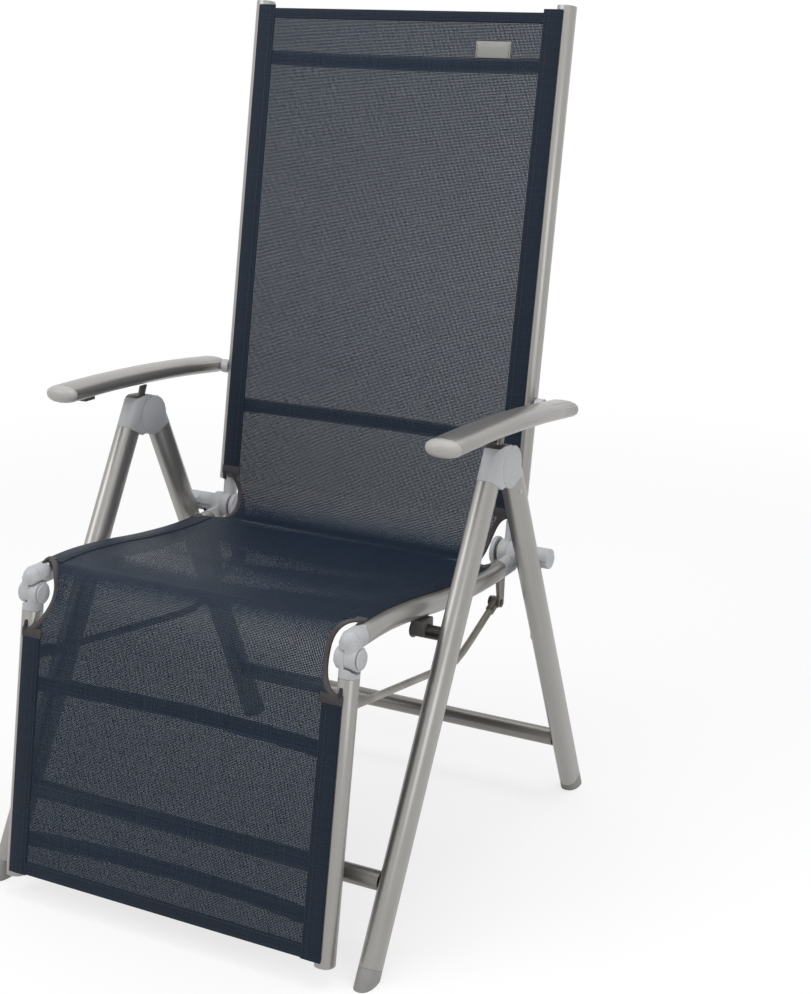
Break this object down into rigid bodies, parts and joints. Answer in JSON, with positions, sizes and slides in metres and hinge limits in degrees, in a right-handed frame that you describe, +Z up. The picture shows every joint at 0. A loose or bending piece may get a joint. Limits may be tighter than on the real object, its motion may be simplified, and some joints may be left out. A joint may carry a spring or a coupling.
{
  "type": "folding recliner chair",
  "caption": "Folding garden recliner with crossed tube legs, bowed armrests, a hinged leg rest and a tall mesh sling.",
  "frame": {"origin": "on the floor under the middle of the whole chair, open and upright", "axes": "+X to the sitter's left, +Y to the back, +Z up; the chair faces -Y"},
  "size_m": [0.5962, 0.6568, 1.0776],
  "materials": {
    "aluminium_tube": "satin silver-grey coated tube",
    "light_grey_plastic": "smooth light grey moulding",
    "mid_grey_plastic": "matt mid grey moulding",
    "grey_steel": "grey painted steel",
    "mesh_fabric": "dark navy open-weave mesh"
  },
  "bodies": {
    "front_frame": {"front_leg_left": "aluminium_tube", "front_leg_right": "aluminium_tube", "front_hub_shell_left": "light_grey_plastic", "front_hub_shell_right": "light_grey_plastic", "front_foot_left": "mid_grey_plastic", "front_foot_right": "mid_grey_plastic", "front_crossbar": "aluminium_tube"},
    "rear_frame": {"rear_leg_left": "aluminium_tube", "rear_leg_right": "aluminium_tube", "rear_hub_disc_left": "light_grey_plastic", "rear_hub_disc_right": "light_grey_plastic", "rear_foot_left": "mid_grey_plastic", "rear_foot_right": "mid_grey_plastic", "rear_crossbar": "aluminium_tube", "hip_bracket_left": "grey_steel", "hip_bracket_right": "grey_steel"},
    "seat": {"seat_rail_left": "aluminium_tube", "seat_rail_right": "aluminium_tube", "seat_hinge_end_left": "light_grey_plastic", "seat_hinge_end_right": "light_grey_plastic", "knee_knuckle_upper_left": "light_grey_plastic", "knee_knuckle_upper_right": "light_grey_plastic", "sling_seat": "mesh_fabric"},
    "hip_core": {"hip_cap_left": "light_grey_plastic", "hip_cap_right": "light_grey_plastic", "sling_hip_bend": "mesh_fabric"},
    "backrest": {"back_rail_left": "aluminium_tube", "back_rail_right": "aluminium_tube", "back_socket_left": "light_grey_plastic", "back_socket_right": "light_grey_plastic", "recline_lever_left": "grey_steel", "recline_lever_right": "grey_steel", "back_lower_bar": "aluminium_tube", "back_upper_bar": "aluminium_tube", "sling_back": "mesh_fabric"},
    "knee_core": {"knee_pin_left": "light_grey_plastic", "knee_pin_right": "light_grey_plastic", "sling_knee_bend": "mesh_fabric"},
    "leg_rest": {"leg_rest_rail_left": "aluminium_tube", "leg_rest_rail_right": "aluminium_tube", "knee_knuckle_lower_left": "light_grey_plastic", "knee_knuckle_lower_right": "light_grey_plastic", "leg_rest_upper_bar": "aluminium_tube", "leg_rest_lower_bar": "aluminium_tube", "rod_bracket_left": "grey_steel", "rod_bracket_right": "grey_steel", "sling_leg_rest": "mesh_fabric"},
    "rod_pins": {"rod_pin_left": "grey_steel", "rod_pin_right": "grey_steel"},
    "push_rods": {"push_rod_left": "grey_steel", "push_rod_right": "grey_steel"},
    "armrest_carrier": {"armrest_spacer_left": "mid_grey_plastic", "armrest_spacer_right": "mid_grey_plastic"},
    "armrest_core": {"armrest_bolt_left": "grey_steel", "armrest_bolt_right": "grey_steel"},
    "left_arm": {"armrest_left": "aluminium_tube", "armrest_front_cap_left": "light_grey_plastic"},
    "right_arm": {"armrest_right": "aluminium_tube", "armrest_front_cap_right": "light_grey_plastic"}
  },
  "joints": [
    {"name": "leg_fold", "type": "hinge", "parent": "front_frame", "child": "rear_frame", "pos_m": [0, 0.05389, 0.5365], "axis": [1, 0, 0], "range_deg": [-53.2, 0]},
    {"name": "seat_fold", "type": "hinge", "parent": "rear_frame", "child": "seat", "pos_m": [0, 0.17151, 0.382], "axis": [1, 0, 0], "range_deg": [-65.1, 0]},
    {"name": "back_fold", "type": "hinge", "parent": "seat", "child": "hip_core", "pos_m": [0, 0.17151, 0.382], "axis": [1, 0, 0], "range_deg": [0, 75.21]},
    {"name": "recline", "type": "hinge", "parent": "hip_core", "child": "backrest", "pos_m": [0, 0.17151, 0.382], "axis": [1, 0, 0], "range_deg": [-50, 0], "deforming": ["sling_hip_bend"]},
    {"name": "leg_rest_fold", "type": "hinge", "parent": "seat", "child": "knee_core", "pos_m": [0, -0.24949, 0.382], "axis": [1, 0, 0], "range_deg": [0, 75.21]},
    {"name": "leg_rest_lift", "type": "hinge", "parent": "knee_core", "child": "leg_rest", "pos_m": [0, -0.24949, 0.382], "axis": [1, 0, 0], "range_deg": [-50.2, 0], "deforming": ["sling_knee_bend"]},
    {"name": "rod_fold", "type": "hinge", "parent": "backrest", "child": "rod_pins", "pos_m": [0, 0.17351, 0.308], "axis": [1, 0, 0], "range_deg": [-75.21, 0]},
    {"name": "rod_turn", "type": "hinge", "parent": "rod_pins", "child": "push_rods", "pos_m": [0, 0.17351, 0.308], "axis": [1, 0, 0], "range_deg": [0, 50.2]},
    {"name": "armrest_fold", "type": "hinge", "parent": "backrest", "child": "armrest_carrier", "pos_m": [0, 0.21462, 0.5741], "axis": [1, 0, 0], "range_deg": [-96.49, 0]},
    {"name": "armrest_level", "type": "hinge", "parent": "armrest_carrier", "child": "armrest_core", "pos_m": [0, 0.21462, 0.5741], "axis": [1, 0, 0], "range_deg": [0, 32.7]},
    {"name": "armrest_lift_left", "type": "hinge", "parent": "armrest_core", "child": "left_arm", "pos_m": [0, 0.21462, 0.5741], "axis": [1, 0, 0], "range_deg": [-90, 0]},
    {"name": "armrest_lift_right", "type": "hinge", "parent": "armrest_core", "child": "right_arm", "pos_m": [0, 0.21462, 0.5741], "axis": [1, 0, 0], "range_deg": [-90, 0]}
  ],
  "couplings": [
    {"joint": "seat_fold", "follows": "leg_fold", "ratio": 1.22},
    {"joint": "back_fold", "follows": "leg_fold", "ratio": -1.41},
    {"joint": "leg_rest_fold", "follows": "leg_fold", "ratio": -1.41},
    {"joint": "rod_fold", "follows": "leg_fold", "ratio": 1.41},
    {"joint": "armrest_fold", "follows": "leg_fold", "ratio": 1.81},
    {"joint": "leg_rest_lift", "follows": "recline", "ratio": 1},
    {"joint": "rod_turn", "follows": "recline", "ratio": -1},
    {"joint": "armrest_level", "follows": "recline", "ratio": -0.65}
  ]
}
